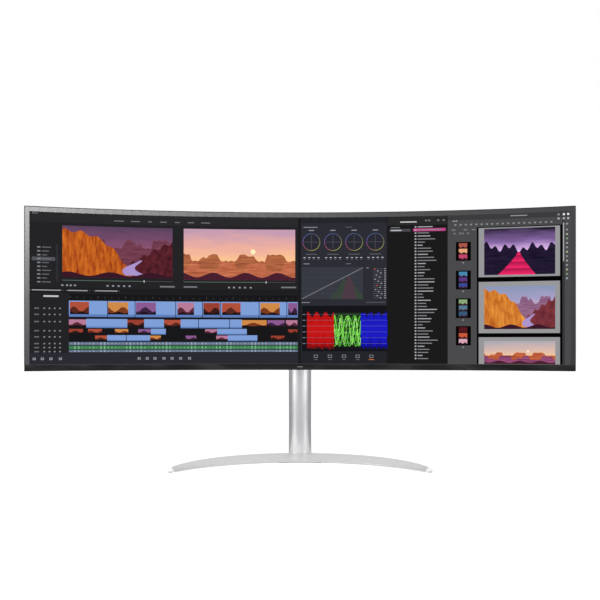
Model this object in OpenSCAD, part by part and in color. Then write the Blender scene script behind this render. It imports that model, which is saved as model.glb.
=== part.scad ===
/* [Head] */
// Radius of the screen's curve, at its front surface
curve_r = 1800; // [1700:50:2000]
// Length of the head along the curve
head_arc = 1215.5; // [1180:5:1240]
// Height of the head
head_h = 358.5; // [354:0.5:364]
// Height of the head's lower edge above the desk
head_z = 212.5; // [208:0.5:216]
// Depth of the head's flat back, behind the front surface
head_d = 26; // [25:0.5:28]
// Height of the chin strip
chin_h = 14; // [12:0.5:16]
// Thickness of the outer frame
rim_t = 1.4; // [1.2:0.1:1.8]
// Wall of the back cover
wall = 2.2; // [2:0.1:2.6]

/* [Stand] */
// Outer radius of the column
col_r = 27; // [26:0.5:28]
// Wall of the column
col_wall = 3; // [2.5:0.1:3.2]
// Distance of the column's centre behind the screen's middle
col_y = 118.5; // [117:0.5:120]
// Height of the column's top
col_top = 465; // [460:1:470]
// Height of the tilt hinge at rest
hinge_z = 390; // [388:1:392]
// Distance of the tilt hinge behind the screen's middle
hinge_y = 78; // [77:0.5:79]
// Radius of the neck's hinge barrel
barrel_r = 9; // [8:0.5:9.5]

/* [Base] */
// Height of the base's ridge
ridge_z = 12.5; // [12:0.5:14]
// Height of the front lip
lip_z = 3.6; // [3.2:0.2:4.4]
// Thickness of the rubber feet
pad_t = 1.8; // [1.5:0.1:2]
// Thickness of the brushed facing
facing_t = 1; // [0.8:0.1:1.2]

/* [Hidden] */
$fn = 48;
arc_fn = 360;

// Half of the head's angle about the centre of its curve
half = head_arc / curve_r * 90 / PI;
head_top = head_z + head_h;
chin_top = head_z + chin_h;
cell_z0 = head_z + 3.5;
cell_z1 = head_top - rim_t - 0.2;
cell_half = half - ang(rim_t + 0.2);
sheet_half = cell_half - ang(5.3);
sheet_z0 = cell_z0 + 6.3;
sheet_z1 = cell_z1 - 5.3;
chassis_d = 7.8;
rim_d = 8;
corner_top = 55;
corner_bottom = 45;
corner_end = 50;

// Rear housing, mount window and connector bay
housing_z0 = head_z + 60;
housing_z1 = head_z + 275.5;
housing_y = 66;
bay_z = 300;
bay_half = 192;
bay_y0 = 30;
bay_y1 = 60;
window = 132;
bolt_grid = 100;
plate_y = 60;
plate_t = 5;
plate_half = 42;

// Column, carriage and counterbalance
bore_r = col_r - col_wall;
foot_z = 12.2;
hub_r = col_r + 1.9;
hub_z = 11.2;
bush_r = 20;
spigot_r = 16;
ledge_z = 4.5;
ring_z = 2.6;
tube_z = 15;
slot_w = 18;
slot_z0 = hinge_z - 79;
slot_z1 = hinge_z + 65;
neck_t = 14;
neck_h = 30;
car_h = 36;
car_z = hinge_z - car_h / 2;
car_r = bore_r - 1.5;
rod_r = 3;
rod_x = 15;
rod_y = col_y + 4;
drum_y = col_y + 7.5;
drum_z = hinge_z - 36;
drum_r = 11.5;
tape_y = drum_y + drum_r;
clear = 0.05;

// Base plan: circle centres on the Y axis, radii and half angles
lip_c = -296;
lip_r = 306;
lip_a = 60.2;
ridge_c = -188;
ridge_r = 280;
ridge_a = 78;
back_c = -133;
back_r = 281;
back_a = 93.1;
ridge_end_z = 10;
base_steps = 40;

speaker_a = 11;
joy_y = 14.8;
joy_z = head_z + 22.8;
screw_spots = [for (s = [-1, 1]) for (p = [[9, 300], [9, 470], [16, 270], [16, 510]]) [s * p[0], p[1]]];

// Sockets: centre x, width, depth in y and height
video_spots = [for (x = [84, 104, 126]) [x, 15.6, 6, 12]];
data_spots = [[150, 10, 9.4, 14], [166, 14, 6.6, 14], [182, 14, 6.6, 14]];
audio_x = 70;
mains_x = -150;
board_y = 30.2;

function ang(mm) = mm / curve_r * 180 / PI;
function on_circle(c, r, a, z) = [r * sin(a), c + r * cos(a), z];
function ridge_at(t) = ridge_z + (ridge_end_z - ridge_z) * t * t;

// A slab that follows the screen's curve, from depth d0 to d1 and height z0 to z1
module arc_slab(d0, d1, z0, z1, a = half) {
    translate([0, -curve_r, 0])
        rotate_extrude(angle = 2 * a, start = 90 - a, $fn = arc_fn)
            translate([curve_r + d0, z0]) square([d1 - d0, z1 - z0]);
}

// Places its children on the curve, turned a degrees to the right
module on_arc(a, d, z) {
    translate([0, -curve_r, 0]) rotate([0, 0, -a]) translate([0, curve_r + d, z]) children();
}

// A block centred on x, from y0 and z0
module block(x, y0, z0, w, d, h) {
    translate([x - w / 2, y0, z0]) cube([w, d, h]);
}

// A round bar along X or Y, centred on its middle
module bar_x(y, z, r, l, x = 0) {
    translate([x, y, z]) rotate([0, 90, 0]) cylinder(r = r, h = l, center = true);
}

module bar_y(x, y0, y1, z, r) {
    translate([x, y0, z]) rotate([-90, 0, 0]) cylinder(r = r, h = y1 - y0);
}

// A closed loft through rings of points that all have the same count. With other, each quad is split
// along its second diagonal, so that a skin can lie flat on the body under it.
module loft(rings, other = false) {
    n = len(rings[0]);
    m = len(rings);
    polyhedron(
        points = [for (r = rings) each r],
        faces = concat(
            [[for (i = [0 : n - 1]) i]],
            [for (j = [0 : m - 2]) for (i = [0 : n - 1])
                let (a = j * n + i, b = a + n, c = (j + 1) * n + (i + 1) % n, d = c - n)
                each other ? [[a, b, d], [b, c, d]] : [[a, b, c], [a, c, d]]],
            [[for (i = [n - 1 : -1 : 0]) (m - 1) * n + i]]
        )
    );
}

// A coil spring along Z from its centre line's base
module coil(r, wire, h, turns, steps = 14, sides = 6) {
    loft([for (i = [0 : turns * steps])
        let (a = i * 360 / steps, z = h * i / (turns * steps))
        [for (k = [0 : sides - 1])
            let (b = -k * 360 / sides, q = r + wire * cos(b))
            [q * cos(a), q * sin(a), z + wire * sin(b)]]]);
}

// ---- Base ----

// One cross-section of the base at t, from -1 at the left tip to 1 at the right tip
function core_ring(t, drop) = [
    on_circle(lip_c, lip_r, t * lip_a, pad_t),
    on_circle(lip_c, lip_r, t * lip_a, lip_z - drop),
    on_circle(ridge_c, ridge_r, t * ridge_a, ridge_at(t) - drop),
    on_circle(back_c, back_r - 1.2, t * back_a, 5),
    on_circle(back_c, back_r, t * back_a, 4),
    on_circle(back_c, back_r, t * back_a, pad_t)
];

function facing_ring(t) = [
    on_circle(lip_c, lip_r, t * lip_a, lip_z - facing_t),
    on_circle(lip_c, lip_r, t * lip_a, lip_z),
    on_circle(ridge_c, ridge_r, t * ridge_a, ridge_at(t)),
    on_circle(ridge_c, ridge_r, t * ridge_a, ridge_at(t) - facing_t)
];

module base_core() {
    color("gainsboro") difference() {
        loft([for (i = [0 : base_steps]) core_ring(2 * i / base_steps - 1, facing_t)]);
        translate([0, col_y, 0]) cylinder(r = hub_r, h = 30, $fn = 96);
    }
}

// Round steel hub let into the base under the column
module swivel_housing() {
    color("gainsboro") translate([0, col_y, 0]) difference() {
        translate([0, 0, pad_t]) cylinder(r = hub_r, h = hub_z - pad_t, $fn = 96);
        translate([0, 0, -1]) cylinder(r = bush_r, h = 20, $fn = 96);
        cylinder(r = 24, h = ledge_z, $fn = 96);
    }
}

module base_facing() {
    color("silver") difference() {
        loft([for (i = [0 : base_steps]) facing_ring(2 * i / base_steps - 1)], other = true);
        translate([0, col_y, 0]) cylinder(r = col_r + 0.5, h = 30, $fn = 96);
    }
}

module foot_pad(c, r, w, a, half_a) {
    translate([0, c, 0]) rotate_extrude(angle = 2 * half_a, start = 90 + a - half_a, $fn = arc_fn)
        translate([r - w, 0]) square([w, pad_t]);
}

module foot_pads() {
    color("dimgray") {
        foot_pad(lip_c, lip_r + 12, 8, 0, 9);
        for (s = [-1, 1]) {
            foot_pad(back_c, back_r - 2, 8, 87 * s, 5);
            foot_pad(back_c, back_r - 3, 10, 48 * s, 8);
            foot_pad(back_c, back_r - 3, 10, 11 * s, 4);
        }
    }
}

// Plain bearing with a flange that carries the column's foot
module swivel_bush() {
    color("ivory") translate([0, col_y, 0]) difference() {
        union() {
            translate([0, 0, ledge_z]) cylinder(r = bush_r, h = hub_z - ledge_z, $fn = 96);
            translate([0, 0, hub_z]) cylinder(r = col_r - 1, h = 0.8, $fn = 96);
        }
        cylinder(r = spigot_r + clear, h = 20, $fn = 96);
    }
}

// ---- Column ----

module column_tube() {
    color("silver") difference() {
        translate([0, col_y, tube_z]) cylinder(r = col_r, h = col_top - tube_z, $fn = 128);
        translate([0, col_y, tube_z - 1]) cylinder(r = bore_r, h = col_top, $fn = 128);
        block(0, col_y - col_r - 1, slot_z0, slot_w, 14, slot_z1 - slot_z0);
    }
}

module column_foot() {
    color("silver") translate([0, col_y, 0]) difference() {
        union() {
            translate([0, 0, foot_z]) cylinder(r = col_r, h = tube_z - foot_z, $fn = 128);
            translate([0, 0, tube_z]) cylinder(r = bore_r, h = 15, $fn = 128);
            translate([0, 0, ledge_z - 0.2]) cylinder(r = spigot_r, h = foot_z - ledge_z + 0.2, $fn = 96);
        }
        translate([0, 0, 3]) cylinder(r = 4, h = 22);
    }
}

module column_cap() {
    color("dimgray") difference() {
        translate([0, col_y, 0]) union() {
            translate([0, 0, col_top]) cylinder(r = col_r, h = 2.5, $fn = 128);
            translate([0, 0, col_top - 7]) cylinder(r = bore_r, h = 7, $fn = 128);
        }
        for (s = [-1, 1]) translate([s * rod_x, rod_y, col_top - 8]) cylinder(r = rod_r, h = 6);
    }
}

module guide_rods() {
    color("lightgray") for (s = [-1, 1])
        translate([s * rod_x, rod_y, hinge_z - 128]) cylinder(r = rod_r, h = col_top - 2 - hinge_z + 128);
}

module rod_block() {
    color("dimgray") difference() {
        translate([0, col_y, hinge_z - 132]) cylinder(r = bore_r, h = 14, $fn = 128);
        for (s = [-1, 1]) translate([s * rod_x, rod_y, hinge_z - 128]) cylinder(r = rod_r, h = 20);
    }
}

module slot_liner() {
    color("dimgray") difference() {
        block(0, col_y - col_r + 1.6, slot_z0, slot_w, 3, slot_z1 - slot_z0);
        block(0, col_y - col_r + 1, slot_z0 + 1, slot_w - 2, 5, slot_z1 - slot_z0 - 2);
    }
}

module spring_tape() {
    color("lightsteelblue") block(0, tape_y, drum_z, 12, 0.4, col_top - 12 - drum_z);
}

module spring_anchor() {
    color("gray") {
        block(0, tape_y + 0.4, col_top - 22, 12, 2, 15);
        block(0, tape_y - 0.9, col_top - 12, 12, 1.3, 5);
    }
}

module cable_clip() {
    loop_x = col_r + 13;
    color("dimgray") difference() {
        translate([0, 0, head_z + 23.5]) union() {
            translate([0, col_y, 0]) rotate_extrude(angle = 240, start = -30, $fn = 128)
                translate([col_r, 0]) square([2.5, 20]);
            block(loop_x, col_y - 3, 0, 24, 30, 20);
        }
        translate([0, col_y, head_z]) cylinder(r = col_r, h = 60, $fn = 128);
        block(loop_x + 1, col_y, head_z, 16, 24, 60);
        block(loop_x + 8, col_y + 9, head_z, 10, 6, 60);
    }
}

// Flat-headed clamping screw with its retaining washer
module base_screw() {
    color("silver") difference() {
        translate([0, col_y, 0]) union() {
            translate([0, 0, pad_t]) cylinder(r = 8, h = ledge_z - 1 - pad_t);
            translate([0, 0, ledge_z - 1]) cylinder(r = 4, h = 20);
        }
        for (s = [-1, 1]) bar_x(col_y, ring_z, 0.6, 6, s * 8);
    }
    color("silver") translate([0, col_y, ledge_z - 1]) difference() {
        cylinder(r = 22, h = 0.8, $fn = 96);
        translate([0, 0, -1]) cylinder(r = 4, h = 3);
    }
}

// Half ring that folds down from the base screw
module screw_ring() {
    color("silver") {
        translate([0, col_y, ring_z - 0.7]) rotate_extrude(angle = 180, $fn = 64)
            translate([8.4, 0]) square([2, 1.4]);
        for (s = [-1, 1]) bar_x(col_y, ring_z, 0.55, 3.4, s * 7.1);
    }
}

// ---- Carriage ----

module carriage() {
    color("slategray") difference() {
        union() {
            intersection() {
                translate([0, col_y, car_z]) cylinder(r = car_r, h = car_h, $fn = 96);
                block(0, 0, car_z, 60, tape_y - 1.5, car_h);
            }
            for (s = [-1, 1]) block(s * 9.8, drum_y - 7, drum_z - 5, 3, 14, car_z - drum_z + 5);
        }
        for (s = [-1, 1]) translate([s * rod_x, rod_y, car_z - 1]) cylinder(r = 4.5, h = car_h + 2);
        block(0, 0, car_z - 1, neck_t, col_y - 6, car_h + 2);
        bar_x(drum_y, drum_z, 2, 40);
        for (s = [-1, 1]) bar_y(0, col_y - 10, col_y + 30, hinge_z + 9 * s, 2.5);
    }
}

module guide_bushes() {
    color("ivory") for (s = [-1, 1]) for (z = [car_z, car_z + car_h - 12])
        translate([s * rod_x, rod_y, z]) difference() {
            cylinder(r = 4.5, h = 12);
            translate([0, 0, -1]) cylinder(r = rod_r + clear, h = 14);
        }
}

module neck_arm() {
    color("silver") difference() {
        union() {
            bar_x(hinge_y, hinge_z, barrel_r, 44);
            translate([-neck_t / 2, hinge_y, hinge_z]) rotate([90, 0, 90]) linear_extrude(neck_t)
                polygon([[0, -barrel_r], [12, -neck_h / 2], [col_y - 6 - hinge_y, -neck_h / 2],
                    [col_y - 6 - hinge_y, neck_h / 2], [12, neck_h / 2], [0, barrel_r]]);
        }
        bar_x(hinge_y, hinge_z, 4, 60);
        for (s = [-1, 1]) bar_y(0, col_y - 22, col_y, hinge_z + 9 * s, 2.5);
    }
}

module neck_screws() {
    color("dimgray") for (s = [-1, 1]) {
        bar_y(0, col_y - 22, tape_y - 1.5, hinge_z + 9 * s, 2.5);
    }
}

module hinge_pin() {
    color("lightgray") {
        bar_x(hinge_y, hinge_z, 4, 64);
        for (s = [-1, 1]) bar_x(hinge_y, hinge_z, 6.5, 2.4, s * 33.2);
    }
}

module friction_washers() {
    color("goldenrod") for (s = [-1, 1]) difference() {
        bar_x(hinge_y, hinge_z, 8.5, 2, s * 23);
        bar_x(hinge_y, hinge_z, 4, 8, s * 23);
    }
}

module drum_pin() {
    color("lightgray") bar_x(drum_y, drum_z, 2, 22.6);
}

module spring_drum() {
    color("lightsteelblue") difference() {
        bar_x(drum_y, drum_z, drum_r - 0.1, 14);
        bar_x(drum_y, drum_z, 2 + clear, 20);
    }
}

// ---- Stand mount ----

module tilt_bracket() {
    y0 = plate_y + plate_t;
    color("silver") difference() {
        union() {
            block(0, y0, hinge_z - 25, 66, 3, 50);
            for (s = [-1, 1]) {
                block(s * 27.5, y0, hinge_z - 10, 6, hinge_y - y0, 20);
                bar_x(hinge_y, hinge_z, 10, 6, s * 27.5);
            }
        }
        bar_x(hinge_y, hinge_z, 4 + clear, 80);
        for (s = [-1, 1]) for (t = [-1, 1]) bar_y(16 * s, plate_y, y0 + 4, hinge_z + 18 * t, 2.5);
    }
}

module mount_plate() {
    color("silver") difference() {
        union() {
            block(0, plate_y, hinge_z - plate_half, 2 * plate_half, plate_t, 2 * plate_half);
            for (s = [-1, 1]) block(28 * s, plate_y - 6, hinge_z + 34, 14, 6, 4);
            for (s = [-1, 1]) block(28 * s, plate_y - 6, hinge_z + 34, 14, 3, 8);
        }
        for (s = [-1, 1]) for (t = [-1, 1]) bar_y(16 * s, plate_y - 1, plate_y + 9, hinge_z + 18 * t, 2.5);
        block(0, plate_y - 1, hinge_z - plate_half - 1, 10, plate_t, 37);
    }
}

module mount_screws() {
    color("dimgray") for (s = [-1, 1]) for (t = [-1, 1]) {
        bar_y(16 * s, plate_y, plate_y + plate_t + 3, hinge_z + 18 * t, 2.5);
        bar_y(16 * s, plate_y + plate_t + 3, plate_y + plate_t + 5, hinge_z + 18 * t, 4.2);
    }
}

// Steel plate with the four threaded holes, its slots for the hooks and latch, and its legs
module rear_plate() {
    color("gray") difference() {
        union() {
            block(0, plate_y - 2, hinge_z - 70, 150, 2, 140);
            for (s = [-1, 1]) for (t = [-1, 1])
                bar_y(s * bolt_grid / 2, plate_y - 8, plate_y, hinge_z + t * bolt_grid / 2, 4.5);
            for (s = [-1, 1]) block(74 * s, 6.6, hinge_z - 60, 2, plate_y - 7, 120);
            for (s = [-1, 1]) block(82 * s, 6.6, hinge_z - 60, 18, 2, 120);
        }
        for (s = [-1, 1]) for (t = [-1, 1])
            bar_y(s * bolt_grid / 2, plate_y - 9, plate_y + 1, hinge_z + t * bolt_grid / 2, 1.65);
        for (s = [-1, 1]) block(28 * s, plate_y - 3, hinge_z + 32, 16, 4, 12);
        block(0, plate_y - 3, hinge_z - 32, 11, 4, 12);
    }
}

module release_spring() {
    color("lightgray") translate([0, plate_y + 1.9, hinge_z - 21]) coil(1.5, 0.3, 14.6, 8);
}

// Push button with the sliding latch bar and its tooth
module release_button() {
    color("dimgray") {
        block(0, plate_y + 0.4, hinge_z - plate_half - 17, 28, 6, 12);
        block(0, plate_y + 0.4, hinge_z - plate_half - 5, 9, 3, 25.6);
        block(0, plate_y - 4, hinge_z - 30, 9, 4.4, 6);
    }
}

// ---- Head: panel ----

module lcd_cell() {
    color([0.06, 0.06, 0.07]) arc_slab(0, 1.6, cell_z0, cell_z1, cell_half);
}

module panel_frame() {
    color("dimgray") difference() {
        arc_slab(1.7, 6.5, cell_z0, cell_z1, cell_half);
        arc_slab(1, 7, cell_z0 + 6, cell_z1 - 5, cell_half - ang(5));
    }
}

module optical_sheets() {
    color("whitesmoke") arc_slab(1.8, 2.8, sheet_z0, sheet_z1, sheet_half);
}

module light_guide() {
    color("azure") arc_slab(2.9, 5.9, sheet_z0 + 6, sheet_z1, sheet_half);
}

module reflector_sheet() {
    color("white") arc_slab(6, 6.4, sheet_z0, sheet_z1, sheet_half);
}

// Strip of lamps under the light guide's lower edge
module led_bar() {
    lamps = 36;
    color("lemonchiffon") {
        arc_slab(3, 5.8, sheet_z0 + 0.2, sheet_z0 + 1.6, sheet_half);
        for (i = [0 : lamps - 1])
            on_arc((2 * i + 1 - lamps) / lamps * sheet_half, 3.4, sheet_z0 + 1.6) block(0, 0, 0, 6, 2, 1.6);
    }
}

// Steel back of the panel with two long stiffening channels
module panel_chassis() {
    color("gray") {
        arc_slab(6.6, chassis_d, cell_z0, cell_z1, cell_half);
        for (z = [cell_z0 + 74, cell_z1 - 90]) arc_slab(chassis_d, chassis_d + 4, z, z + 8, cell_half - ang(80));
    }
}

module outer_frame() {
    a = half - ang(rim_t);
    color([0.1, 0.1, 0.11]) difference() {
        arc_slab(-0.4, rim_d, chin_top, head_top, half);
        arc_slab(-1, rim_d + 1, chin_top - 1, head_top - rim_t, a);
    }
}

module bottom_chin() {
    color([0.12, 0.12, 0.13]) translate([0, -curve_r, 0])
        rotate_extrude(angle = 2 * half, start = 90 - half, $fn = arc_fn) translate([curve_r, head_z])
            polygon([[-1.4, 0], [rim_d, 0], [rim_d, 1.6], [-0.2, 1.6], [-0.2, chin_h],
                [-1.4, chin_h], [-1.8, chin_h - 0.5], [-1.8, 0.5]]);
}

module badge() {
    color("gray") block(0, -2.25, head_z + 6.2, 12, 0.4, 1.6);
}

module power_light() {
    color("white") on_arc(16, 3, head_z - 0.4) cylinder(r = 1.4, h = 0.4);
}

// ---- Head: covers ----

// Rounded section of the back cover, drawn in by w
function cover_section(w, d_front) = concat(
    [[d_front, head_z + w]],
    [for (i = [0 : 9]) let (a = i * 10)
        [rim_d + (head_d - rim_d - w) * sin(a), head_z + w + (corner_bottom - w) * (1 - cos(a))]],
    [for (i = [9 : -1 : 0]) let (a = i * 10)
        [rim_d + (head_d - rim_d - w) * sin(a), head_top - w - (corner_top - w) * (1 - cos(a))]],
    [[d_front, head_top - w]]
);

function plan_point(s, x_mm, d) =
    let (a = half - ang(x_mm)) [s * (curve_r + d) * sin(a), (curve_r + d) * cos(a) - curve_r];

// Plan of the back cover with its rounded ends, drawn in by w
function cover_end(s, w) = [for (i = [0 : 8]) let (a = i * 11.25)
    plan_point(s, w + (corner_end - w) * (1 - cos(a)), rim_d + (head_d - rim_d - w) * sin(a))];

function reversed(v) = [for (i = [len(v) - 1 : -1 : 0]) v[i]];

module cover_solid(w, d_front) {
    intersection() {
        translate([0, -curve_r, 0])
            rotate_extrude(angle = 2 * half, start = 90 - half, $fn = arc_fn)
                translate([curve_r, 0]) polygon(cover_section(w, d_front));
        linear_extrude(head_top + 50) polygon(concat(
            [plan_point(-1, w, d_front - 2)], cover_end(-1, w), [[-500, 200], [500, 200]],
            reversed(cover_end(1, w)), [plan_point(1, w, d_front - 2)]));
    }
}

module back_cover() {
    color("whitesmoke") difference() {
        cover_solid(0, rim_d);
        cover_solid(wall, rim_d - 1);
        block(0, 0, housing_z0 + 14, 2 * bay_half + 4, 60, housing_z1 - housing_z0 - 32);
        translate([0, joy_y, head_z - 1]) cylinder(r = 7.8, h = 12);
        for (s = [-1, 1]) for (i = [-5 : 5])
            on_arc(speaker_a * s + 0.18 * i, 20, head_z + 44) block(0, 0, 0, 2.4, 10, 24);
        for (i = [-24 : 24]) on_arc(0.42 * i, 14, head_top - 42) block(0, 0, 0, 5, 20, 5);
        for (p = screw_spots) on_arc(p[0], 20, p[1]) bar_y(0, 0, 10, 0, 1.5);
    }
}

// Rounded rectangle of the rear housing at depth y, drawn in by w
module housing_slice(y, inset, w) {
    r = 24 - w;
    x = 2 * bay_half + 58;
    for (s = [-1, 1]) for (z = [housing_z0 + inset + w + r, housing_z1 - inset * 0.8 - w - r])
        bar_y(s * (x / 2 - inset * 1.2 - w - r), y - 0.5, y, z, r, $fn = 32);
}

module housing_body(w) {
    hull() {
        housing_slice(6, 0, w);
        housing_slice(housing_y - w - 2, 16, w);
        housing_slice(housing_y - w, 19, w);
    }
}

module rear_housing() {
    color("whitesmoke") difference() {
        union() {
            difference() {
                housing_body(0);
                housing_body(wall);
            }
            intersection() {
                housing_body(0);
                union() {
                    block(0, bay_y0 - 2, housing_z0 - 5, 2 * bay_half + 4, bay_y1 - bay_y0 + 4, bay_z - housing_z0 + 5);
                    block(0, plate_y, hinge_z - window / 2 - 2, window + 4, 10, window + 4);
                }
            }
        }
        arc_slab(-60, head_d, housing_z0 - 20, housing_z1 + 20, half);
        block(0, bay_y0, housing_z0 - 10, 2 * bay_half, bay_y1 - bay_y0, bay_z - housing_z0 + 20);
        block(0, plate_y - 1, hinge_z - window / 2, window, 12, window);
        for (i = [-15 : 15]) block(i * 11, 34, housing_z1 - 20, 5, 18, 30);
    }
}

module connector_bracket() {
    color("silver") difference() {
        block(0, bay_y0, bay_z, 2 * bay_half - 2, bay_y1 - bay_y0, 1);
        for (p = concat(video_spots, data_spots))
            block(p[0], board_y + 1.7, bay_z - 1, p[1] + 0.4, p[2] + 0.4, 3);
        block(mains_x, board_y + 1, bay_z - 1, 32.4, 26, 3);
        translate([audio_x, board_y + 6, bay_z - 1]) cylinder(r = 4.1, h = 3);
    }
}

module socket(p, tongue) {
    color("silver") difference() {
        block(p[0], board_y + 1.8, bay_z - 0.6, p[1], p[2], p[3]);
        block(p[0], board_y + 2.3, bay_z - 1, p[1] - 1, p[2] - 1, p[3] - 0.6);
    }
    color("dimgray") block(p[0], board_y + 1.8 + p[2] / 2 - tongue / 2, bay_z + 1, p[1] * 0.6, tongue, p[3] - 2);
}

module video_sockets() {
    for (p = video_spots) socket(p, 1.2);
}

module data_sockets() {
    socket(data_spots[0], 3);
    for (i = [1, 2]) socket(data_spots[i], 1.8);
}

module audio_socket() {
    color("dimgray") translate([audio_x, board_y + 6, bay_z - 0.6]) difference() {
        union() {
            cylinder(r = 4, h = 14);
            translate([-4, -4.2, 2]) cube([8, 8.2, 12]);
        }
        translate([0, 0, -1]) cylinder(r = 1.8, h = 13);
    }
}

module mains_inlet() {
    color("dimgray") difference() {
        block(mains_x, board_y + 1.4, bay_z - 0.6, 32, 25, 24);
        block(mains_x, board_y + 3.4, bay_z - 2, 27.5, 20, 20);
    }
    color("silver") for (p = [[-7, 13], [0, 17], [7, 13]])
        block(mains_x + p[0], board_y + p[1] - 2, bay_z + 4, 2, 4, 14);
}

// ---- Head: electronics ----

module main_board() {
    color("seagreen") {
        block(136, board_y, bay_z + 4, 116, 1.6, 140);
        block(76, board_y, bay_z + 4, 24, 1.6, 20);
        block(120, board_y + 1.6, bay_z + 60, 24, 2.2, 24);
        block(160, board_y + 1.6, bay_z + 100, 16, 1.8, 16);
        block(100, board_y + 1.6, bay_z + 110, 22, 7, 12);
    }
    color("silver") block(120, board_y + 3.8, bay_z + 62, 20, 10, 20);
}

module power_board() {
    color("peru") block(-135, board_y - 0.4, bay_z + 2, 116, 1.6, 150);
    color("gold") block(-130, board_y + 1.2, bay_z + 60, 36, 24, 32);
    color("dimgray") for (x = [-178, -158]) translate([x, board_y + 10.2, bay_z + 110])
        cylinder(r = 9, h = 32);
    color("silver") block(-92, board_y + 1.2, bay_z + 60, 3, 20, 60);
}

module driver_board() {
    color("seagreen") {
        block(0, 12.4, head_top - 76, 220, 1.2, 28);
        for (x = [-60, 0, 60]) block(x, 13.6, head_top - 68, 14, 1.4, 12);
    }
}

module signal_ribbon() {
    y1 = board_y;
    color("whitesmoke") translate([94, 0, 0]) rotate([90, 0, 90]) linear_extrude(26, center = true)
        polygon([[y1 - 0.4, 436], [y1, 436], [y1, 452], [18.6, 462], [14, 492], [14, 508], [13.6, 508],
            [13.6, 491.9], [18.2, 461.8], [y1 - 0.4, 451.7]]);
}

module panel_ribbons() {
    color("peru") for (i = [-3 : 3]) on_arc(i * 0.85, chassis_d + 0.4, head_top - 50) block(0, 0, 0, 18, 0.3, 40);
}

module speaker_boxes() {
    color("dimgray") for (s = [-1, 1]) on_arc(speaker_a * s, 9, head_z + 38) difference() {
        block(0, 0, 0, 130, 10.6, 36);
        bar_y(0, 4, 12, 18, 13);
    }
}

module speaker_drivers() {
    color("gray") for (s = [-1, 1]) on_arc(speaker_a * s, 9, head_z + 56) difference() {
        union() {
            bar_y(0, 4, 12, 0, 13);
            bar_y(0, 10.6, 13, 0, 15);
        }
        bar_y(0, 11, 15, 0, 10.5);
    }
}

module cover_screws() {
    color("dimgray") for (p = screw_spots) on_arc(p[0], 0, p[1]) {
        bar_y(0, head_d - wall, head_d, 0, 1.5);
        bar_y(0, head_d, head_d + 1.4, 0, 3);
    }
}

// ---- Joystick under the middle of the head ----

module joystick_board() {
    color("seagreen") block(0, joy_y - 5.6, joy_z + 5, 40, 11.2, 1.2);
    color("dimgray") difference() {
        block(0, joy_y - 5.7, joy_z - 2.6, 11.4, 11.4, 7.6);
        translate([0, joy_y, joy_z - 3]) cylinder(r = 4.9, h = 6.4);
        bar_y(0, joy_y - 7, joy_y + 7, joy_z, 0.6 + clear);
    }
}

// Ring between the stick and the housing, with a pin towards the front and the back
module joystick_gimbal() {
    color("gray") difference() {
        union() {
            translate([0, joy_y, joy_z - 1.2]) cylinder(r = 4.6, h = 2.4);
            bar_y(0, joy_y - 5.6, joy_y + 5.6, joy_z, 0.6);
        }
        translate([0, joy_y, joy_z - 2]) cylinder(r = 3.3, h = 4);
        bar_x(joy_y, joy_z, 0.6 + clear, 12);
    }
}

// Rocking stick: ball, shaft and contact disc
module joystick_stick() {
    color("silver") {
        translate([0, joy_y, joy_z]) sphere(r = 2.6);
        bar_x(joy_y, joy_z, 0.6, 8.8);
        translate([0, joy_y, head_z + 4.6]) cylinder(r = 1.6, h = joy_z - head_z - 4.6);
    }
}

module joystick_cap() {
    color("dimgray") difference() {
        translate([0, joy_y, head_z + 0.4]) cylinder(r = 4.6, h = 8.2);
        translate([0, joy_y, head_z + 3]) cylinder(r = 1.6 + clear, h = 8);
    }
}

base_core();
base_facing();
foot_pads();
swivel_bush();
swivel_housing();
column_tube();
column_foot();
column_cap();
guide_rods();
rod_block();
slot_liner();
spring_tape();
spring_anchor();
cable_clip();
base_screw();
screw_ring();
carriage();
guide_bushes();
neck_arm();
neck_screws();
hinge_pin();
friction_washers();
drum_pin();
spring_drum();
tilt_bracket();
mount_plate();
mount_screws();
rear_plate();
release_spring();
release_button();
lcd_cell();
optical_sheets();
light_guide();
reflector_sheet();
led_bar();
panel_frame();
panel_chassis();
outer_frame();
bottom_chin();
badge();
power_light();
back_cover();
rear_housing();
connector_bracket();
main_board();
power_board();
driver_board();
signal_ribbon();
panel_ribbons();
video_sockets();
data_sockets();
audio_socket();
mains_inlet();
speaker_boxes();
speaker_drivers();
cover_screws();
joystick_board();
joystick_gimbal();
joystick_stick();
joystick_cap();
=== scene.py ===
from math import asin, ceil, cos, exp, pi, radians, sin

import bmesh
import bpy
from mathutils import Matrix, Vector


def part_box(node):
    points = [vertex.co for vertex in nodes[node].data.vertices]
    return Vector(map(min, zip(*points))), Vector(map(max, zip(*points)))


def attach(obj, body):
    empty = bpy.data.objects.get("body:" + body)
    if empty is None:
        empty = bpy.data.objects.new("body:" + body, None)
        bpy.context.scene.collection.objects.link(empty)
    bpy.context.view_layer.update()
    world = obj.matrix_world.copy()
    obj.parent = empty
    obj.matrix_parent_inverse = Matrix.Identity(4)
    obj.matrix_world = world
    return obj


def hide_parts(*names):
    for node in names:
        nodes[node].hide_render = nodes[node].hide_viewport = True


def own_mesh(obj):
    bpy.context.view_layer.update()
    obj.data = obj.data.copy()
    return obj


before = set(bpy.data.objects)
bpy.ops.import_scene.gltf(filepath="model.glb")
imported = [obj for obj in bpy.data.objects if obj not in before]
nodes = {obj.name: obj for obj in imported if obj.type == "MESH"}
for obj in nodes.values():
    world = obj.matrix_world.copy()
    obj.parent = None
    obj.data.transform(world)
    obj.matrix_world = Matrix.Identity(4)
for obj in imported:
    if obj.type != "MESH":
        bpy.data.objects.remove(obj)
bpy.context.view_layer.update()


# ---- Camera ----
# The viewer sits two metres in front of the screen, looking level, with the lens shifted up a little
# so that the upright edges stay upright.
EYE = Vector((0, -2.033, 0.274))
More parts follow.
